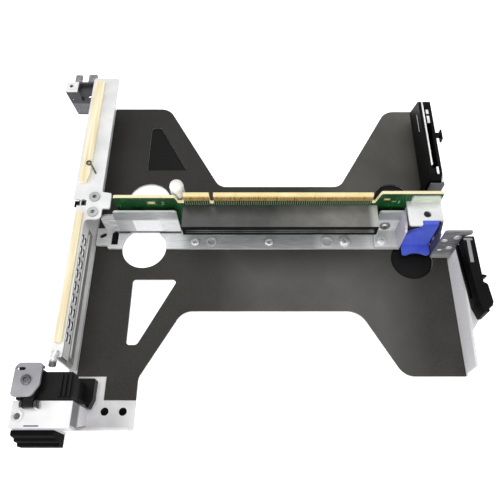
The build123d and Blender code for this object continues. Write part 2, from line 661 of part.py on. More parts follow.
def foam_pad():
    profile = [(box_y0, 3.0), (box_y0, 16.4), (box_y0 - 2.0, 16.4, 0.8), (box_y0 - 2.6, 12.4, 0.4)]
    profile += [(box_y0 - 3.6, 12.0, 0.6), (box_y0 - 3.9, 8.4, 0.4), (box_y0 - 5.1, 8.0, 0.6), (box_y0 - 5.1, 3.0, 0.6)]
    return along_x(profile, -75.0, -58.2)


nodes = {
    "cage_plate": cage_plate,
    "insulator_film": insulator_film,
    "hole_covers": hole_covers,
    "slot_frame": slot_frame,
    "wall_rivets": wall_rivets,
    "near_filler": near_filler,
    "far_filler": far_filler,
    "near_gasket": near_gasket,
    "far_gasket": far_gasket,
    "board_bracket": board_bracket,
    "spine_rivets": spine_rivets,
    "foot_screws": foot_screws,
    "board_standoffs": board_standoffs,
    "board_screws": board_screws,
    "riser_board": riser_board,
    "edge_contacts": edge_contacts,
    "front_slot": front_slot,
    "guide_pin": guide_pin,
    "locating_post": locating_post,
    "latch_bracket": latch_bracket,
    "release_latch_pin": release_latch_pin,
    "release_latch_spring": release_latch_spring,
    "release_latch": release_latch,
    "near_card_holder": near_card_holder,
    "near_holder_spring": near_holder_spring,
    "far_card_holder": far_card_holder,
    "far_holder_spring": far_holder_spring,
    "corner_hook": corner_hook,
    "front_corner_bracket": front_corner_bracket,
    "card_latch_pin": card_latch_pin,
    "card_latch": card_latch,
    "latch_clamp": latch_clamp,
    "latch_screw": latch_screw,
    "latch_base": latch_base,
    "foam_pad": foam_pad,
}

for name, make in nodes.items():
    export_step(make(), "parts/" + name + ".step")
    print(name)
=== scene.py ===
import math

import bmesh
import bpy
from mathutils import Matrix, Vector


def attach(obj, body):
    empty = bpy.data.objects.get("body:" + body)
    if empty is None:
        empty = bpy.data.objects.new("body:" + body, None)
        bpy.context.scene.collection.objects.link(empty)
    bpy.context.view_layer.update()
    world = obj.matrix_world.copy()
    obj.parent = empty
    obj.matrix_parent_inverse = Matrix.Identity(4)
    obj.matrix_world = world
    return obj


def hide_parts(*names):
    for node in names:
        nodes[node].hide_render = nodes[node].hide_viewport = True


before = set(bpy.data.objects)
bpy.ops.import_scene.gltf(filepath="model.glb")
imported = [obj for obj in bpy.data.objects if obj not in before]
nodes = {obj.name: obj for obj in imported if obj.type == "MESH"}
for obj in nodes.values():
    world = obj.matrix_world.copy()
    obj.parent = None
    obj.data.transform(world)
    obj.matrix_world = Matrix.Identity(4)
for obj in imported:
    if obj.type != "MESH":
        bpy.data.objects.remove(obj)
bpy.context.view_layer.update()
deck = 0.0014  # top of the insulating film
contactPitch = 0.001
tickHalfWidth = 0.00017
print("stage: frame loaded,", len(nodes), "nodes")


def linearOf(hexText, alpha=1.0):
    values = []
    for i in (0, 2, 4):
        c = int(hexText[i:i + 2], 16) / 255
        values.append(c / 12.92 if c <= 0.04045 else ((c + 0.055) / 1.055) ** 2.4)
    return (*values, alpha)


def addNode(tree, kind, settings=None, inputs=None):
    node = tree.nodes.new(kind)
    for key, value in (settings or {}).items():
        setattr(node, key, value)
    for key, value in (inputs or {}).items():
        if isinstance(value, bpy.types.NodeSocket):
            tree.links.new(value, node.inputs[key])
        else:
            node.inputs[key].default_value = value
    return node


def startMaterial(name, settings):
    material = bpy.data.materials.new(name)
    material.use_nodes = True
    tree = material.node_tree
    shader = tree.nodes["Principled BSDF"]
    for key, value in settings.items():
        shader.inputs[key].default_value = value
    coords = addNode(tree, "ShaderNodeTexCoord")
    return material, tree, shader, coords


# Scales are features per metre: 70 gives clouds of 14 mm, 420 crystals of 2.4 mm and 2600 a
# grain of 0.4 mm
def noiseAt(tree, vector, scale, detail=3.0, rough=0.5):
    inputs = {"Vector": vector, "Scale": scale, "Detail": detail, "Roughness": rough}
    return addNode(tree, "ShaderNodeTexNoise", None, inputs).outputs["Fac"]


def cellsAt(tree, vector, scale, randomness=1.0):
    inputs = {"Vector": vector, "Scale": scale, "Randomness": randomness}
    return addNode(tree, "ShaderNodeTexVoronoi", None, inputs).outputs["Distance"]


def mixColour(tree, factor, a, b):
    node = addNode(tree, "ShaderNodeMix", {"data_type": "RGBA"}, {0: factor, 6: a, 7: b})
    return node.outputs[2]


def twoTone(tree, factor, first, second):
    return mixColour(tree, factor, linearOf(first), linearOf(second))


def remap(tree, value, low, high, outLow, outHigh):
    inputs = {"Value": value, "From Min": low, "From Max": high, "To Min": outLow, "To Max": outHigh}
    return addNode(tree, "ShaderNodeMapRange", None, inputs).outputs[0]


# Noise stays near its middle, so its useful part is spread over 0 to 1
def spread(tree, noise, low=0.3, high=0.7):
    return remap(tree, noise, low, high, 0, 1)


def bumpFrom(tree, shader, height, distance, strength):
    inputs = {"Height": height, "Distance": distance, "Strength": strength}
    bump = addNode(tree, "ShaderNodeBump", None, inputs)
    tree.links.new(bump.outputs[0], shader.inputs["Normal"])


def stretched(tree, vector, scale):
    return addNode(tree, "ShaderNodeMapping", None, {"Vector": vector, "Scale": scale}).outputs[0]


def mathNode(tree, operation, a, b=0.0, c=0.0):
    return addNode(tree, "ShaderNodeMath", {"operation": operation}, {0: a, 1: b, 2: c}).outputs[0]


def vectorNode(tree, operation, inputs):
    return addNode(tree, "ShaderNodeVectorMath", {"operation": operation}, inputs)


def splitAxes(tree, vector):
    return addNode(tree, "ShaderNodeSeparateXYZ", None, {0: vector}).outputs


# A mask that is 1 inside a box given in metres, with a soft edge
def insideBox(tree, vector, low, high, soft=0.0001):
    centre = [(a + b) / 2 for a, b in zip(low, high)]
    half = [(b - a) / 2 for a, b in zip(low, high)]
    moved = vectorNode(tree, "SUBTRACT", {0: vector, 1: centre}).outputs[0]
    away = vectorNode(tree, "ABSOLUTE", {0: moved}).outputs[0]
    x, y, z = splitAxes(tree, vectorNode(tree, "SUBTRACT", {0: half, 1: away}).outputs[0])
    nearest = mathNode(tree, "MINIMUM", mathNode(tree, "MINIMUM", x, y), z)
    return remap(tree, nearest, -soft, soft, 0, 1)


# How far a surface faces along one axis, as a mask
def facingAlong(tree, coords, axis, sign=0):
    part = splitAxes(tree, coords.outputs["Normal"])[axis]
    value = mathNode(tree, "MULTIPLY", part, sign) if sign else mathNode(tree, "ABSOLUTE", part)
    return remap(tree, value, 0.4, 0.7, 0, 1)


# Areas of another tone: low corner, high corner, light, dark, (axis, sign) or None, softness
def paintAreas(tree, coords, tone, cloud, areas):
    vector = coords.outputs["Object"]
    for low, high, light, dark, facing, *soft in areas:
        mask = insideBox(tree, vector, low, high, *soft)
        if facing is not None:
            mask = mathNode(tree, "MULTIPLY", mask, facingAlong(tree, coords, *facing))
        tone = mixColour(tree, mask, tone, twoTone(tree, cloud, dark, light))
    return tone


# Zinc-plated sheet: the eye sees a cloudy tone, faint crystals and lines from rolling
def sheetSteel(name, light, dark, settings, grain=(60, 900, 900), areas=()):
    material, tree, shader, coords = startMaterial(name, settings)
    vector = coords.outputs["Object"]
    cloud = noiseAt(tree, vector, 70, 4)
    lines = noiseAt(tree, stretched(tree, vector, grain), 3, 2)
    crystal = cellsAt(tree, vector, 420)
    tone = twoTone(tree, spread(tree, cloud), dark, light)
    tone = mixColour(tree, remap(tree, crystal, 0.1, 0.9, 0.0, 0.12), tone, linearOf(dark))
    tone = paintAreas(tree, coords, tone, spread(tree, lines), areas)
    tree.links.new(tone, shader.inputs["Base Color"])
    rough = settings["Roughness"]
    tree.links.new(remap(tree, lines, 0.3, 0.7, rough - 0.06, rough + 0.08), shader.inputs["Roughness"])
    bumpFrom(tree, shader, lines, 0.00003, 0.35)
    return material


# Moulded plastic: two close tones and the fine grain of a spark-eroded mould
def mouldedPlastic(name, light, dark, settings, grainScale=2600, bump=0.25, areas=()):
    material, tree, shader, coords = startMaterial(name, settings)
    vector = coords.outputs["Object"]
    cloud = noiseAt(tree, vector, 110, 3)
    grain = noiseAt(tree, vector, grainScale, 2)
    tone = twoTone(tree, spread(tree, cloud), dark, light)
    tone = paintAreas(tree, coords, tone, spread(tree, cloud), areas)
    tree.links.new(tone, shader.inputs["Base Color"])
    rough = settings["Roughness"]
    tree.links.new(remap(tree, grain, 0.3, 0.7, rough - 0.05, rough + 0.07), shader.inputs["Roughness"])
    bumpFrom(tree, shader, grain, 0.00004, bump)
    return material


# Tones that differ by place on one sheet, in the order that paintAreas takes them; many of them are
# painted light and shade, as marked
everywhere = ((-1, -1, -1), (1, 1, 1))
plateAreas = [
    # painted light: every face that looks along X is whiter
    (*everywhere, "ffffff", "cfcbd3", (0,)),
    ((0.1, -0.019, 0.0012), (0.12, -0.016, 0.03), "909094", "55555b", None),
    ((0.1, -0.019, 0.0012), (0.12, -0.016, 0.006), "c4c4c6", "96969a", None, 0.002),
    ((0.1, 0.010, 0.0012), (0.12, 0.0125, 0.03), "55555a", "3c3c42", None),
]
bracketLightAndShade = [
    # painted reflection and highlights on the flange top: greyer along its length where the dark slot
    # is reflected, and white patches towards the ends
    ((-0.06, -0.2, 0.0), (0.09, -0.0041, 0.0026), "c8cacb", "a5a8a9", (2, 1)),
    ((-0.0205, -0.2, 0.0), (-0.0165, 0.1, 0.0026), "ffffff", "eceeee", (2, 1), 0.004),
    ((-0.07, -0.2, 0.0), (-0.0225, 0.1, 0.0026), "ffffff", "f0f0f0", (2, 1), 0.002),
    ((0.05, -0.2, 0.0), (0.0764, 0.1, 0.0026), "ffffff", "f4f6f6", (2, 1), 0.003),
    # painted shade: the side wall, in a darker purple-grey
    ((0.0874, -0.02, 0.0035), (0.09, 0.002, 0.03), "d4d0dc", "aeaab8", None),
    # painted light and shade on the upright's face: lighter over all, a patch of painted shade by the
    # label, a darker band along the top that is a painted reflection, and painted highlights at the
    # left end and right of the label
    ((-0.06, -0.0045, 0.0026), (0.0874, -0.0025, 0.0300), "f3f5f5", "d2d5d5", (1,)),
    ((-0.0460, -0.0045, 0.0026), (-0.0290, -0.0025, 0.0300), "9b9da0", "7f8184", (1,), 0.003),
    ((-0.0525, -0.0045, 0.0145), (0.0874, -0.0025, 0.0300), "8c8e90", "6c6e70", (1,), 0.0012),
    ((-0.0540, -0.0045, 0.0026), (-0.0462, -0.0025, 0.0300), "f4f4f5", "a2a2a6", (1,), 0.0004),
    ((-0.0235, -0.0045, 0.0026), (-0.0160, -0.0025, 0.0140), "ffffff", "eeeeee", (1,), 0.003),
    # painted shade: a dark line in the crease where the upright bends into the flange
    ((-0.047, -0.0048, 0.0021), (-0.0165, -0.0036, 0.0031), "66676a", "505155", None),
]
latchBracketAreas = [
    # painted shade: the leg, in dark purple-grey
    ((0.1024, -0.02, 0.0), (0.105, 0.002, 0.0252), "5a5468", "3f3a4b", None),
    # painted shade below the shelf
    ((0.08, -0.02, 0.0), (0.1024, -0.0019, 0.0246), "7d7b85", "5f5d66", None),
    ((0.0905, -0.0024, 0.0262), (0.1022, 0.0, 0.0310), "dfe6d4", "b9c2ae", (1,), 0.0002),
]
hookAreas = [
    # painted shade: the recess of the diamond, black
    ((-0.0711, 0.0622, 0.0180), (-0.0688, 0.0664, 0.0192), "0a0a0a", "040404", None),
    ((-0.0790, 0.0676, 0.0), (-0.0724, 0.0746, 0.03), "f0f0ee", "d5d5d6", (2,)),
    ((-0.0752, 0.0746, 0.0), (-0.0630, 0.0800, 0.03), "98989a", "6a6a6c", (2,), 0.0004),
    ((-0.0780, 0.0530, 0.0205), (-0.0610, 0.0600, 0.03), "77777a", "59595c", (2,), 0.0006),
    # painted shadow: a black stripe in the gap at the tab's side
    ((-0.0770, 0.0710, 0.0), (-0.0750, 0.0722, 0.0212), "0c0c0c", "050505", None),
]
boxAreas = [
    ((-0.0620, -0.1, 0.0), (-0.0490, -0.088, 0.0213), "efedf0", "c6c4ca", (0, 1)),
    ((-0.0620, -0.1, 0.0125), (-0.0490, -0.088, 0.0213), "7d7b7f", "5d5c60", (0, 1), 0.001),
    ((-0.08, -0.0992, 0.0), (-0.05, -0.0978, 0.0212), "d8d7dc", "b4b3ba", None),
    ((-0.0683, -0.0984, 0.0212), (-0.0626, -0.0979, 0.0216), "1c1c1c", "101010", (2, 1)),
    ((-0.0708, -0.0918, 0.02145), (-0.0630, -0.0885, 0.026), "39393b", "262627", None),
]
postAreas = [
    (*everywhere, "6c6c6e", "2c2c2e", None),
    ((-0.065, -0.0740, 0.0), (-0.055, -0.060, 0.03), "e6e6e4", "a4a4a4", None, 0.0006),
]
wallAreas = [
    # painted shade: the flange top around the notch, nearly black
    ((-0.0633, -0.0010, 0.0205), (-0.0607, 0.0019, 0.0226), "2c2c2e", "101011", None),
    ((-0.0603, -0.0010, 0.0205), (-0.0580, 0.0019, 0.0226), "2c2c2e", "101011", None),
    ((-0.0612, -0.072, 0.0010), (-0.0500, -0.030, 0.0213), "8c8c89", "6b6b68", (0, 1), 0.004),
]
fillerAreas = [
    ((-0.0606, -0.2, 0.0020), (-0.0580, 0.2, 0.0093), "97978f", "6a6a65", (0, 1), 0.0006),
    ((-0.0606, -0.2, 0.0168), (-0.0580, 0.2, 0.0210), "7c7c78", "565653", (0, 1), 0.0006),
    # painted shade: the inner walls of the holes, nearly black
    ((-0.06025, -0.2, 0.0094), (-0.05955, 0.2, 0.0167), "070707", "020202", (2,), 0.00002),
    ((-0.06025, -0.2, 0.0094), (-0.05955, 0.2, 0.0167), "070707", "020202", (1,), 0.00002),
]
slotAreas = [
    (*everywhere, "0d0d0d", "060606", (1, -1)),
    ((-0.0120, -0.1, 0.0166), (0.0740, 0.1, 0.0174), "8a8a8a", "5c5c5c", (1, -1), 0.0002),
    # painted reflection: the top grows lighter towards the right end, brightest at the end
    ((0.04, -0.1, -0.1), (0.12, 0.1, 0.1), "73736f", "5a5a58", (2, 1), 0.014),
    ((0.0725, -0.1, -0.1), (0.12, 0.1, 0.1), "b4b4b0", "94948f", (2, 1), 0.0012),
    ((0.0750, -0.1, -0.1), (0.12, 0.1, 0.1), "4a4a4a", "343434", (0, 1)),
]
filmAreas = [
    # painted shade: the film seen through the bracket's slot, black
    ((-0.0505, -0.0112, -0.2), (-0.0466, -0.0040, 0.2), "060606", "020202", None),
    ((0.012, -0.2, -0.2), (0.088, -0.020, 0.2), "5c5b58", "4a4947", None, 0.010),
    ((0.055, 0.010, -0.2), (0.2, 0.2, 0.2), "64635f", "52514d", None, 0.012),
]

# Sheets and turned parts: how much metal shows through the plating, and how dull it is
alongY, evenGrain, wideGrain = (900, 60, 900), (500, 500, 500), (300, 300, 300)
zincSheet = sheetSteel("zincPlatedSheet", "dcdcda", "bdbebe",
                       {"Metallic": 0.15, "Roughness": 0.42}, areas=bracketLightAndShade)
latchSheet = sheetSteel("zincPlatedLatchSheet", "dededc", "c2c3c3",
                        {"Metallic": 0.3, "Roughness": 0.38}, areas=latchBracketAreas)
wallSheet = sheetSteel("zincPlatedWall", "ececea", "d3d4d4",
                       {"Metallic": 0.25, "Roughness": 0.4}, alongY, wallAreas)
fillerSheet = sheetSteel("zincPlatedFiller", "ffffff", "e4e4e4",
                         {"Metallic": 0.15, "Roughness": 0.42}, alongY, fillerAreas)
boxSheet = sheetSteel("zincPlatedCorner", "ececec", "d4d4d4",
                      {"Metallic": 0.2, "Roughness": 0.4}, areas=boxAreas)
cageSheet = sheetSteel("zincPlatedPlate", "e6e5e4", "c9c8c9",
                       {"Metallic": 0.15, "Roughness": 0.42}, areas=plateAreas)
plainSteel = sheetSteel("plainScrewSteel", "b9bab9", "8c8d8d",
                        {"Metallic": 0.9, "Roughness": 0.33}, evenGrain)
rivetSteel = sheetSteel("brightRivetSteel", "f6f6f6", "c9cacb",
                        {"Metallic": 0.25, "Roughness": 0.36}, evenGrain)
clampScrewSteel = sheetSteel("oiledScrewSteel", "8c8c8d", "2e2e30",
                             {"Metallic": 0.6, "Roughness": 0.32}, (900, 900, 900))
springSteel = sheetSteel("springSteelLeaf", "f8f8f6", "d8d8d8",
                         {"Metallic": 0.4, "Roughness": 0.3}, evenGrain)
stripSteel = sheetSteel("greyStripSteel", "9c9c9e", "808083",
                        {"Metallic": 0.3, "Roughness": 0.45}, evenGrain)
darkSteel = sheetSteel("darkPaintedSteel", "4c4c50", "2c2c30",
                       {"Metallic": 0.2, "Roughness": 0.45}, wideGrain, hookAreas)
capSteel = sheetSteel("clampSteel", "a2a2a5", "85858a",
                      {"Metallic": 0.4, "Roughness": 0.42}, wideGrain)
postSteel = sheetSteel("turnedPostSteel", "9a9a9a", "5a5a5a",
                       {"Metallic": 0.6, "Roughness": 0.35}, evenGrain, postAreas)
pinSteel = sheetSteel("darkPinSteel", "515153", "2b2b2d",
                      {"Metallic": 0.5, "Roughness": 0.4}, evenGrain)
bluePlastic = mouldedPlastic("bluePolycarbonate", "5d70dc", "4558c6",
                             {"Roughness": 0.42, "Specular IOR Level": 0.3})
blackPlastic = mouldedPlastic("blackNylon", "090909", "030303",
                              {"Roughness": 0.42, "Specular IOR Level": 0.07})
armPlastic = mouldedPlastic("blackArmNylon", "1b1b1b", "0c0c0c",
                            {"Roughness": 0.38, "Specular IOR Level": 0.12})
slotPlastic = mouldedPlastic("blackSlotResin", "434444", "303131",
                             {"Roughness": 0.32, "Specular IOR Level": 0.35}, 4200, 0.15, slotAreas)
whitePlastic = mouldedPlastic("whiteNylon", "fbfaf7", "eceae4", {"Roughness": 0.45})


# Dark rings, each given as (x, y, radius): painted shade along the edges of the covered holes
def rimShadeMask(tree, vector, rims, halfWidth=0.0007):
    flat = stretched(tree, vector, (1, 1, 0))
    mask = 0.0
    for x, y, r in rims:
        away = vectorNode(tree, "DISTANCE", {0: flat, 1: (x, y, 0)}).outputs["Value"]
        offRim = mathNode(tree, "ABSOLUTE", mathNode(tree, "SUBTRACT", away, r))
        mask = mathNode(tree, "MAXIMUM", mathNode(tree, "LESS_THAN", offRim, halfWidth), mask)
    return mask


# Matt polycarbonate film: soft clouds of 45 mm, and specks of 0.6 mm as fine as the render shows
def filmMaterial(name, tones, areas=(), rims=()):
    settings = {"Roughness": 0.5, "Specular IOR Level": 0.12}
    material, tree, shader, coords = startMaterial(name, settings)
    vector = coords.outputs["Object"]
    cloud = noiseAt(tree, vector, 22, 4, 0.55)
    speck = noiseAt(tree, vector, 1800, 2)
    wide = spread(tree, cloud, 0.35, 0.65)
    tone = twoTone(tree, wide, tones[0], tones[1])
    tone = paintAreas(tree, coords, tone, wide, areas)
    tone = mixColour(tree, remap(tree, speck, 0.45, 0.75, 0, 0.35), tone, linearOf(tones[2]))
    if rims:
        tone = mixColour(tree, rimShadeMask(tree, vector, rims), tone, linearOf("030303"))
    tree.links.new(tone, shader.inputs["Base Color"])
    tree.links.new(remap(tree, cloud, 0.3, 0.7, 0.46, 0.56), shader.inputs["Roughness"])
    bumpFrom(tree, shader, speck, 0.00003, 0.3)
    return material


# Plated fabric over foam: long streaks, and a weave of 0.7 mm, coarser than the real one so
# that it shows
def gasketMaterial():
    settings = {"Roughness": 0.75, "Sheen Weight": 0.2}
    material, tree, shader, coords = startMaterial("creamGasketFabric", settings)
    vector = coords.outputs["Object"]
    threads = []
    for direction in ("X", "Y"):
        wave = addNode(tree, "ShaderNodeTexWave", {"bands_direction": direction},
                       {"Vector": vector, "Scale": 450, "Distortion": 0.6})
        threads.append(wave.outputs["Fac"])
    streak = noiseAt(tree, stretched(tree, vector, (1, 0.05, 1)), 700, 2)
    tone = twoTone(tree, spread(tree, streak, 0.35, 0.65), "e6d6ab", "f8f0d3")
    tree.links.new(tone, shader.inputs["Base Color"])
    bumpFrom(tree, shader, mathNode(tree, "MULTIPLY", *threads), 0.0001, 0.4)
    return material


# Tones of the board's faces: contact band, bevel, notch rims, pads and dark components
boardAreas = [
    ((-0.0126, -0.1, 0.0264), (0.0726, 0.1, 0.0292), "b8935a", "92733f", (1,)),
    ((-0.0126, -0.1, 0.0292), (0.0726, 0.1, 0.0330), "f8e8b4", "e6d092", None, 0.0002),
    ((-0.0291, -0.1, 0.0236), (-0.0262, 0.1, 0.0252), "e8d9a4", "cdb878", (1, -1), 0.0006),
    ((0.0779, -0.1, 0.0268), (0.0803, 0.1, 0.0280), "ead9a0", "cfb87a", (1, -1), 0.0004),
    ((-0.0229, -0.1, 0.0246), (-0.0219, 0.1, 0.0252), "9fb59a", "86a081", (1, -1)),
    ((-0.0229, -0.1, 0.0230), (-0.0219, 0.1, 0.0236), "9fb59a", "86a081", (1, -1)),
    ((0.0815, -0.1, 0.0252), (0.0835, 0.1, 0.0260), "8fb08f", "76987a", (1, -1)),
    ((0.0846, -0.1, 0.0240), (0.0852, 0.1, 0.0262), "8fb08f", "76987a", (1, -1)),
    ((0.0975, -0.1, 0.0285), (0.0990, 0.1, 0.0300), "262a22", "14170f", (1, -1), 0.0002),
    ((0.0998, -0.1, 0.0285), (0.1013, 0.1, 0.0300), "262a22", "14170f", (1, -1), 0.0002),
]
coveredGreen = "0d2413"  # solder mask between the ticks below the contacts


# Thin lines at the pitch of the contacts
def tickMask(tree, along):
    fromLine = mathNode(tree, "PINGPONG", along, contactPitch / 2)
    return mathNode(tree, "LESS_THAN", fromLine, tickHalfWidth)


# Glass laminate under green solder mask: tracks, vias and pads show as faint lighter marks,
# and the sawn edges are pale
def boardMaterial():
    settings = {"Roughness": 0.42, "Specular IOR Level": 0.25}
    material, tree, shader, coords = startMaterial("greenBoardLaminate", settings)
    vector = coords.outputs["Object"]
    x = splitAxes(tree, vector)[0]
    bent = noiseAt(tree, stretched(tree, vector, (1, 1, 0.35)), 240, 2)
    shifted = mathNode(tree, "MULTIPLY_ADD", bent, 0.004, x)
    track = mathNode(tree, "LESS_THAN", mathNode(tree, "PINGPONG", shifted, 0.0005), 0.00014)
    patch = spread(tree, noiseAt(tree, vector, 130, 1), 0.50, 0.54)
    tracks = mathNode(tree, "MULTIPLY", track, patch)
    cloud = noiseAt(tree, vector, 160, 3)
    green = twoTone(tree, cloud, "082a10", "134a20")
    green = mixColour(tree, tracks, green, linearOf("25683a"))
    via = mathNode(tree, "LESS_THAN", cellsAt(tree, vector, 330, 0.8), 0.09)
    green = mixColour(tree, via, green, linearOf("7f8f55"))
    # Comb of openings in the solder mask under the contacts
    comb = insideBox(tree, vector, (-0.0126, -0.1, 0.0226), (0.0726, 0.1, 0.0264))
    green = mixColour(tree, comb, green, linearOf(coveredGreen))
    ticks = mathNode(tree, "MULTIPLY", tickMask(tree, x), comb)
    green = mixColour(tree, ticks, green, linearOf("7d8d6d"))
    fibre = noiseAt(tree, stretched(tree, vector, (1, 8, 8)), 300, 2)
    sawnEdge = twoTone(tree, fibre, "e6d8a8", "f8f0cc")
    tone = mixColour(tree, facingAlong(tree, coords, 1), sawnEdge, green)
    tone = paintAreas(tree, coords, tone, spread(tree, cloud), boardAreas)
    tree.links.new(tone, shader.inputs["Base Color"])
    bumpFrom(tree, shader, tracks, 0.00003, 0.3)
    return material


# Hard gold plating: a soft yellow metal with upright wear lines
def goldMaterial():
    material, tree, shader, coords = startMaterial("goldPlating", {"Metallic": 0.35, "Roughness": 0.34})
    vector = coords.outputs["Object"]
    wear = noiseAt(tree, stretched(tree, vector, (1, 1, 0.2)), 900, 3)
    tone = twoTone(tree, spread(tree, wear, 0.35, 0.65), "a78347", "c9a364")
    # Pale upper ends, and lower ends that the solder mask covers between narrow ticks
    x, y, z = splitAxes(tree, vector)
    isPad = remap(tree, y, -0.003, -0.002, 0, 1)
    upper = mathNode(tree, "MULTIPLY", isPad, remap(tree, z, 0.0288, 0.0294, 0, 1))
    tone = mixColour(tree, upper, tone, linearOf("f2dfa6"))
    lower = mathNode(tree, "MULTIPLY", isPad, remap(tree, z, 0.0262, 0.0264, 1, 0))
    tone = mixColour(tree, lower, tone, twoTone(tree, tickMask(tree, x), coveredGreen, "7f9070"))
    tree.links.new(tone, shader.inputs["Base Color"])
    tree.links.new(remap(tree, wear, 0.3, 0.7, 0.24, 0.38), shader.inputs["Roughness"])
    return material


# Foam rubber: open cells of 0.7 mm that swallow the light
def foamMaterial():
    settings = {"Roughness": 0.8, "Specular IOR Level": 0.06}
    material, tree, shader, coords = startMaterial("blackFoamRubber", settings)
    cells = cellsAt(tree, coords.outputs["Object"], 1500)
    tone = twoTone(tree, spread(tree, cells, 0.0, 0.8), "040404", "0d0d0c")
    tree.links.new(tone, shader.inputs["Base Color"])
    bumpFrom(tree, shader, cells, 0.0002, 0.5)
    return material


# Coated paper: white with a hardly seen fibre
def labelMaterial():
    material, tree, shader, coords = startMaterial("blankLabelPaper", {"Roughness": 0.55})
    fibre = noiseAt(tree, coords.outputs["Object"], 900, 3)
    tone = twoTone(tree, spread(tree, fibre), "f2f2f4", "ffffff")
    tree.links.new(tone, shader.inputs["Base Color"])
    bumpFrom(tree, shader, fibre, 0.00002, 0.2)
    return material


filmGrey = filmMaterial("greyInsulatingFilm", ("31302d", "3c3b38", "4a4946"), filmAreas)
# dark patches for the covered holes, with rings of painted shade at their edges
filmDark = filmMaterial("darkFilmPatch", ("0c0b0a", "141312", "1b1a18"),
                        rims=[(0.0943, -0.0186, 0.0095), (0.0885, 0.0152, 0.0086)])
gasketCream = gasketMaterial()
boardGreen = boardMaterial()
goldPlate = goldMaterial()
foamBlack = foamMaterial()
labelPaper = labelMaterial()

nodeMaterials = {
    "cage_plate": cageSheet, "insulator_film": filmGrey, "hole_covers": filmDark,
    "slot_frame": wallSheet, "near_filler": fillerSheet, "far_filler": fillerSheet,
    "near_gasket": gasketCream, "far_gasket": gasketCream, "wall_rivets": plainSteel,
    "board_bracket": zincSheet, "spine_rivets": rivetSteel, "foot_screws": rivetSteel,
    "board_standoffs": plainSteel, "board_screws": plainSteel, "riser_board": boardGreen,
    "edge_contacts": goldPlate, "front_slot": slotPlastic, "guide_pin": whitePlastic,
    "locating_post": postSteel, "latch_bracket": latchSheet, "release_latch": bluePlastic,
    "release_latch_pin": plainSteel, "release_latch_spring": springSteel,
    "near_card_holder": blackPlastic, "near_holder_spring": stripSteel,
    "far_card_holder": blackPlastic, "far_holder_spring": springSteel,
    "corner_hook": darkSteel, "front_corner_bracket": boxSheet, "card_latch": armPlastic,
    "card_latch_pin": pinSteel, "latch_clamp": capSteel, "latch_screw": clampScrewSteel,
    "latch_base": armPlastic, "foam_pad": foamBlack,
}
for name, material in nodeMaterials.items():
    mesh = nodes[name].data
    mesh.materials.clear()
    mesh.materials.append(material)
print("stage: materials")


def addObject(name, data):
    thing = bpy.data.objects.new(name, data)
    bpy.context.scene.collection.objects.link(thing)
    return thing


def addPiece(name, mesh, body, material):
    piece = addObject(name, mesh)
    mesh.materials.clear()
    mesh.materials.append(material)
    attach(piece, body)
    return piece


def meshFrom(form, name):
    mesh = bpy.data.meshes.new(name)
    form.to_mesh(mesh)
    form.free()
    return mesh


# The plain mesh of an object with its modifiers or its curve worked out; the helpers go
def finishedMesh(holder, helpers=()):
    bpy.context.view_layer.update()
    graph = bpy.context.evaluated_depsgraph_get()
    mesh = bpy.data.meshes.new_from_object(holder.evaluated_get(graph))
    for extra in [holder, *helpers]:
        bpy.data.objects.remove(extra)
    return mesh


def bevelledBox(name, low, high, bevel):
    form = bmesh.new()
    made = bmesh.ops.create_cube(form, size=1.0)
    size = [b - a for a, b in zip(low, high)]
    centre = [(a + b) / 2 for a, b in zip(low, high)]
    for vert in made["verts"]:
        vert.co = Vector([c + v * s for c, v, s in zip(centre, vert.co, size)])
    bmesh.ops.bevel(form, geom=form.edges[:], offset=bevel, segments=2, affect="EDGES")
    return meshFrom(form, name)


def joinedBoxes(name, boxes, bevel):
    form = bmesh.new()
    for low, high in boxes:
        part = bevelledBox(name + "Part", low, high, bevel)
        form.from_mesh(part)
        bpy.data.meshes.remove(part)
    return meshFrom(form, name)


def extruded(corners, along):
    form = bmesh.new()
    face = form.faces.new([form.verts.new(corner) for corner in corners])
    grown = bmesh.ops.extrude_face_region(form, geom=[face])["geom"]
    moved = [item for item in grown if isinstance(item, bmesh.types.BMVert)]
    bmesh.ops.translate(form, verts=moved, vec=along)
    bmesh.ops.recalc_face_normals(form, faces=form.faces[:])
    return form


def addCone(form, place, z0, z1, lowRadius, highRadius, segments):
    made = bmesh.ops.create_cone(form, cap_ends=True, segments=segments, radius1=lowRadius,
                                 radius2=highRadius, depth=z1 - z0)
    bmesh.ops.translate(form, verts=made["verts"], vec=(*place, (z0 + z1) / 2))


# Blank label on the left upright of the board bracket
labelSizes = {"x0": -0.0381, "x1": -0.0251, "z0": 0.0038, "z1": 0.0140,
              "face": -0.0040, "thick": 0.00012, "edge": 0.00004}


def blankLabel():
    s = labelSizes
    low = (s["x0"], s["face"] - s["thick"], s["z0"])
    mesh = bevelledBox("blankLabel", low, (s["x1"], s["face"], s["z1"]), s["edge"])
    return addPiece("blankLabel", mesh, "cage", labelPaper)


blankLabel()

# Contacts above and below the mouth of the card slot
contactSizes = {"pitch": contactPitch, "first": -0.0112, "count": 83, "width": 0.00055,
                "depth": 0.0055, "height": 0.00032, "edge": 0.00008,
                "top": 0.0190, "bottom": 0.0179, "front": 0.0104}


def contactUnit(name):
    s = contactSizes
    high = (s["width"] / 2, s["depth"] / 2, s["height"] / 2)
    return addObject(name, bevelledBox(name, [-value for value in high], high, s["edge"]))


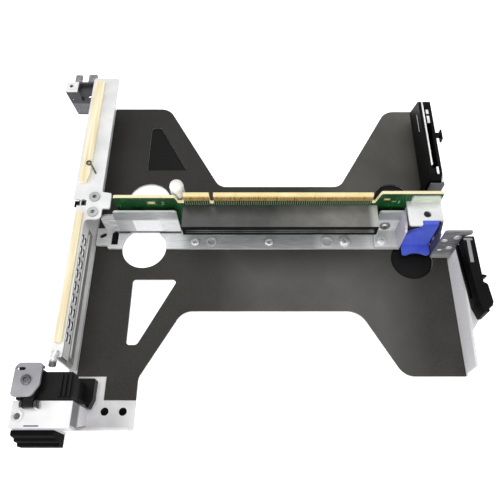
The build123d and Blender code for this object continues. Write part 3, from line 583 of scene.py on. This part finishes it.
def rowTree(name, unit, material):
    tree = bpy.data.node_groups.new(name, "GeometryNodeTree")
    tree.interface.new_socket("Geometry", in_out="OUTPUT", socket_type="NodeSocketGeometry")
    sockets = {"Count": "NodeSocketInt", "Start": "NodeSocketVector", "Step": "NodeSocketVector"}
    for label, kind in sockets.items():
        tree.interface.new_socket(label, in_out="INPUT", socket_type=kind)
    given = addNode(tree, "NodeGroupInput").outputs
    line = addNode(tree, "GeometryNodeMeshLine", {"mode": "OFFSET"},
                   {"Count": given["Count"], "Start Location": given["Start"], "Offset": given["Step"]})
    source = addNode(tree, "GeometryNodeObjectInfo", None, {"Object": unit})
    placed = addNode(tree, "GeometryNodeInstanceOnPoints", None,
                     {"Points": line.outputs[0], "Instance": source.outputs["Geometry"]})
    real = addNode(tree, "GeometryNodeRealizeInstances", None, {0: placed.outputs[0]})
    painted = addNode(tree, "GeometryNodeSetMaterial", None,
                      {"Geometry": real.outputs[0], "Material": material})
    addNode(tree, "NodeGroupOutput", None, {0: painted.outputs[0]})
    return tree


def repeatedRow(name, unit, material, count, start, step, body):
    tree = rowTree(name + "Nodes", unit, material)
    holder = addObject(name + "Maker", bpy.data.meshes.new(name + "Empty"))
    modifier = holder.modifiers.new("row", "NODES")
    modifier.node_group = tree
    values = {"Count": count, "Start": start, "Step": step}
    for item in tree.interface.items_tree:
        if item.in_out == "INPUT" and item.name in values:
            modifier[item.identifier] = values[item.name]
    holder.update_tag()
    return addPiece(name, finishedMesh(holder), body, material)


def slotContacts():
    s = contactSizes
    unit = contactUnit("contactUnit")
    for height, row in ((s["top"], "Upper"), (s["bottom"], "Lower")):
        start = (s["first"], -s["front"] + s["depth"] / 2, height)
        repeatedRow("slot" + row + "Contacts", unit, goldPlate, s["count"], start,
                    (s["pitch"], 0, 0), "cage")
    bpy.data.objects.remove(unit)


slotContacts()

# The long flange is open over the near finger hole, and its slot is square at the ends
bracketCuts = {"hole": (-0.0341, -0.0122, 0.0106), "edge": -0.0041, "z0": 0.0010, "z1": 0.0030,
               "slot": (-0.0502, -0.0109, -0.0469, -0.0042), "segments": 96}


def cutForm(name, corners, z0, z1):
    form = extruded([(x, y, z0) for x, y in corners], (0, 0, z1 - z0))
    return addObject(name, meshFrom(form, name))


def dressedBracket():
    s = bracketCuts
    x, y, r = s["hole"]
    edge = s["edge"]
    turns = [2 * math.pi * i / s["segments"] for i in range(s["segments"])]
    circle = [(x + r * math.cos(a), min(y + r * math.sin(a), edge)) for a in turns]
    # Of the points on the straight edge only its two ends stay
    circle = [point for i, point in enumerate(circle)
              if min(point[1], circle[i - 1][1], circle[(i + 1) % len(circle)][1]) < edge]
    x0, y0, x1, y1 = s["slot"]
    slot = [(x0, y0), (x1, y0), (x1, y1), (x0, y1)]
    holder = addObject("bracketMaker", nodes["board_bracket"].data.copy())
    cutters = [cutForm(name, corners, s["z0"], s["z1"])
               for name, corners in (("fingerCutter", circle), ("slotCutter", slot))]
    for cutter in cutters:
        cut = holder.modifiers.new(cutter.name, "BOOLEAN")
        cut.operation = "DIFFERENCE"
        cut.solver = "EXACT"
        cut.object = cutter
    made = finishedMesh(holder, cutters)
    piece = addPiece("dressedBoardBracket", made, "cage", zincSheet)
    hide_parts("board_bracket")
    return piece


# The left screw of the board ends just behind the upright's face, as no head shows there
screwSizes = {"leftOf": 0.0, "face": -0.00399}


def dressedScrews():
    s = screwSizes
    mesh = nodes["board_screws"].data.copy()
    mesh.name = "dressedBoardScrews"
    piece = addPiece("dressedBoardScrews", mesh, "cage", plainSteel)
    mesh.materials.append(zincSheet)
    for vert in mesh.vertices:
        if vert.co.x < s["leftOf"]:
            vert.co.y = max(vert.co.y, s["face"])
    for polygon in mesh.polygons:
        polygon.material_index = 1 if polygon.center.x < s["leftOf"] else 0
    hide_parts("board_screws")
    return piece


# Thin dark discs in the two flange holes, which look black in the photograph: painted shade standing in
# for the dark seen through them
flangeShadeDiscs = {"places": [(-0.0437, -0.0892), (-0.0360, -0.0892)], "r": 0.00168,
               "z0": 0.0004, "z1": 0.0007, "segments": 48}


def flangeHoleFilms():
    s = flangeShadeDiscs
    form = bmesh.new()
    for place in s["places"]:
        addCone(form, place, s["z0"], s["z1"], s["r"], s["r"], s["segments"])
    mesh = meshFrom(form, "flangeHoleFilms")
    return addPiece("flangeHoleFilms", mesh, "cage", foamBlack)


dressedBracket()
dressedScrews()
flangeHoleFilms()

# Small dark wire hook on the far gasket
wireHook = {"ring": (-0.0591, 0.0214, 0.0243), "ringRadius": 0.00105, "points": 12, "wire": 0.00034,
            "tail": [(-0.0583, 0.0209, 0.0243), (-0.0572, 0.0196, 0.0236),
                     (-0.0563, 0.0178, 0.0229), (-0.0556, 0.0165, 0.0227)]}


def wallWireHook():
    s = wireHook
    curve = bpy.data.curves.new("wallWireHookCurve", "CURVE")
    curve.dimensions = "3D"
    curve.bevel_depth = s["wire"]
    curve.bevel_resolution = 3
    curve.use_fill_caps = True
    x, y, z = s["ring"]
    r = s["ringRadius"]
    turns = [2 * math.pi * i / s["points"] for i in range(s["points"])]
    ring = [(x + r * math.cos(a), y + r * math.sin(a), z) for a in turns]
    for points, closed in ((ring, True), (s["tail"], False)):
        spline = curve.splines.new("NURBS")
        spline.points.add(len(points) - 1)
        for point, place in zip(spline.points, points):
            point.co = (*place, 1)
        spline.order_u = 3
        spline.use_cyclic_u = closed
        spline.use_endpoint_u = not closed
    mesh = finishedMesh(addObject("wallWireHookMaker", curve))
    return addPiece("wallWireHook", mesh, "cage", pinSteel)


wallWireHook()

# The latch bracket's leg runs on to the corner wall; two light marks on it are painted highlights
legPlate = {"x0": 0.10265, "x1": 0.10355, "edge": 0.00012,
            "outline": [(-0.0128, 0.0016), (-0.0163, 0.0016), (-0.0163, 0.0170),
                        (-0.0150, 0.0205), (-0.0128, 0.0205)],
            "highlightSpots": [(-0.0123, 0.0116), (-0.0121, 0.0050)], "highlightHalf": (0.0005, 0.0013),
            "highlightX": (0.10252, 0.10262), "highlightEdge": 0.00002}


def latchLegPlate():
    s = legPlate
    form = extruded([(s["x0"], y, z) for y, z in s["outline"]], (s["x1"] - s["x0"], 0, 0))
    bmesh.ops.bevel(form, geom=form.edges[:], offset=s["edge"], segments=2, affect="EDGES")
    mesh = meshFrom(form, "latchLegPlate")
    addPiece("latchLegPlate", mesh, "cage", latchSheet)
    front, back = s["highlightX"]
    halfY, halfZ = s["highlightHalf"]
    boxes = [((front, y - halfY, z - halfZ), (back, y + halfY, z + halfZ)) for y, z in s["highlightSpots"]]
    mesh = joinedBoxes("latchLegSlots", boxes, s["highlightEdge"])
    addPiece("latchLegSlots", mesh, "cage", rivetSteel)


latchLegPlate()

# Dark sheets under the notch of the top flange, on each side of the wall: painted shade in the gap
# there
notchShadeSheet = {"edge": 0.00003, "boxes": [((-0.0637, -0.0011, 0.0208), (-0.06131, 0.0021, 0.0213)),
                                        ((-0.06029, -0.0011, 0.0208), (-0.0582, 0.0021, 0.0213))]}
notchShadeMesh = joinedBoxes("wallNotchFilm", notchShadeSheet["boxes"], notchShadeSheet["edge"])
addPiece("wallNotchFilm", notchShadeMesh, "cage", foamBlack)

# White sleeve on the guide pin's shaft, as wide as its head
sleeveSizes = {"place": (-0.0159, 0.0049), "r": 0.0031, "z0": deck, "z1": 0.0262,
               "edge": 0.0003, "segments": 64}


def guidePinSleeve():
    s = sleeveSizes
    form = bmesh.new()
    addCone(form, s["place"], s["z0"], s["z1"], s["r"] - s["edge"], s["r"], s["segments"])
    rims = [edge for edge in form.edges if abs(edge.verts[0].co.z - edge.verts[1].co.z) < 1e-6]
    bmesh.ops.bevel(form, geom=rims, offset=s["edge"], segments=3, affect="EDGES")
    mesh = meshFrom(form, "guidePinSleeve")
    for polygon in mesh.polygons:
        polygon.use_smooth = abs(polygon.normal.z) < 0.5
    return addPiece("guidePinSleeve", mesh, "cage", whitePlastic)


guidePinSleeve()

# Light tabs in and on the far card holder
holderTabs = {"edge": 0.00004, "boxes": [((0.1048, 0.0518, 0.0228), (0.10615, 0.0554, 0.0233)),
                                         ((0.1048, 0.0462, 0.0228), (0.10615, 0.0505, 0.0233)),
                                         ((0.1050, 0.0154, 0.02375), (0.1060, 0.0194, 0.0241)),
                                         ((0.10142, 0.0440, 0.0186), (0.10153, 0.0545, 0.0193))]}
tabMesh = joinedBoxes("farHolderTabs", holderTabs["boxes"], holderTabs["edge"])
addPiece("farHolderTabs", tabMesh, "cage", springSteel)

# Bright pressed dimples on the corner wall, each (x, z, radius), as the photograph shows four
dimpleSizes = {"spots": [(0.1049, 0.0193, 0.0014), (0.1098, 0.0222, 0.0018),
                         (0.1090, 0.0121, 0.0015), (0.1052, 0.0098, 0.0010)],
               "face": -0.0175, "proud": 0.00035}


def cornerDimples():
    s = dimpleSizes
    form = bmesh.new()
    for x, z, r in s["spots"]:
        made = bmesh.ops.create_uvsphere(form, u_segments=32, v_segments=16, radius=r)
        for vert in made["verts"]:
            height = s["face"] + vert.co.y * s["proud"] / r
            vert.co = Vector((x + vert.co.x, height, z + vert.co.z))
    mesh = meshFrom(form, "cornerWallDimples")
    for polygon in mesh.polygons:
        polygon.use_smooth = True
    return addPiece("cornerWallDimples", mesh, "cage", springSteel)


cornerDimples()
print("stage: added pieces")

# Floor, background and soft light
studioSizes = {"floorHalf": 3.0, "floorZ": -0.0002, "floorGlow": 0.55,
               "ambient": (0.26, 0.26, 0.27, 1), "backdrop": (0.8, 0.8, 0.81, 1)}


# 1 where the eye sees a surface itself, in metal or through glass, and 0 where it lights others
def seenDirectly(tree):
    path = addNode(tree, "ShaderNodeLightPath").outputs
    total = path["Is Camera Ray"]
    for ray in ("Is Glossy Ray", "Is Transmission Ray"):
        total = addNode(tree, "ShaderNodeMath", {"operation": "ADD", "use_clamp": True},
                        {0: total, 1: path[ray]}).outputs[0]
    return total


# Matt white paper floor
def floorMaterial():
    settings = {"Roughness": 0.9, "Specular IOR Level": 0.1, "Emission Color": (1, 1, 1, 1)}
    material, tree, shader, coords = startMaterial("paleStudioFloor", settings)
    shown = mathNode(tree, "MULTIPLY", seenDirectly(tree), studioSizes["floorGlow"])
    tree.links.new(shown, shader.inputs["Emission Strength"])
    cloud = noiseAt(tree, coords.outputs["Object"], 3, 2)
    tree.links.new(twoTone(tree, cloud, "fbfbfb", "ffffff"), shader.inputs["Base Color"])
    return material


def studio():
    s = studioSizes
    form = bmesh.new()
    bmesh.ops.create_grid(form, x_segments=1, y_segments=1, size=s["floorHalf"])
    floor = addObject("studioFloor", meshFrom(form, "studioFloor"))
    floor.location = (0, 0, s["floorZ"])
    floor.data.materials.append(floorMaterial())
    world = bpy.data.worlds.new("studioWorld")
    bpy.context.scene.world = world
    world.use_nodes = True
    tree = world.node_tree
    background = tree.nodes["Background"]
    tone = mixColour(tree, seenDirectly(tree), s["ambient"], s["backdrop"])
    tree.links.new(tone, background.inputs["Color"])
    background.inputs["Strength"].default_value = 1.0


def areaLight(name, place, aim, size, power):
    data = bpy.data.lights.new(name, "AREA")
    data.shape = "RECTANGLE"
    data.size, data.size_y = size
    data.energy = power
    lamp = addObject(name, data)
    lamp.location = place
    lamp.rotation_euler = (Vector(aim) - Vector(place)).to_track_quat("-Z", "Y").to_euler()


studio()
areaLight("overheadSoftbox", (0.05, 0.25, 0.9), (0.02, 0, 0), (0.9, 0.7), 4.0)
areaLight("leftSoftbox", (-0.8, -0.2, 0.45), (0, 0, 0), (0.6, 0.6), 4.8)
areaLight("rightSoftbox", (0.8, -0.3, 0.5), (0, 0, 0), (0.6, 0.6), 2.4)
areaLight("frontSoftbox", (0.0, -0.95, 0.32), (0, 0, 0.01), (0.9, 0.4), 4.8)

# Camera fitted to the photograph through the card edge's real sizes
cameraFit = {"place": (0.0222967, -0.1313415, 0.2389505), "tilt": 26.4200, "lens": 39.6,
             "sensor": 36, "shift": -0.022, "near": 0.01, "far": 20}
cameraData = bpy.data.cameras.new("photoCamera")
cameraData.sensor_width = cameraFit["sensor"]
cameraData.lens = cameraFit["lens"]
cameraData.shift_x = cameraFit["shift"]
cameraData.clip_start = cameraFit["near"]
cameraData.clip_end = cameraFit["far"]
camera = addObject("photoCamera", cameraData)
camera.location = cameraFit["place"]
camera.rotation_euler = (math.radians(cameraFit["tilt"]), 0, 0)
bpy.context.scene.camera = camera
bpy.context.scene.view_settings.view_transform = "Standard"
print("stage: studio and camera")
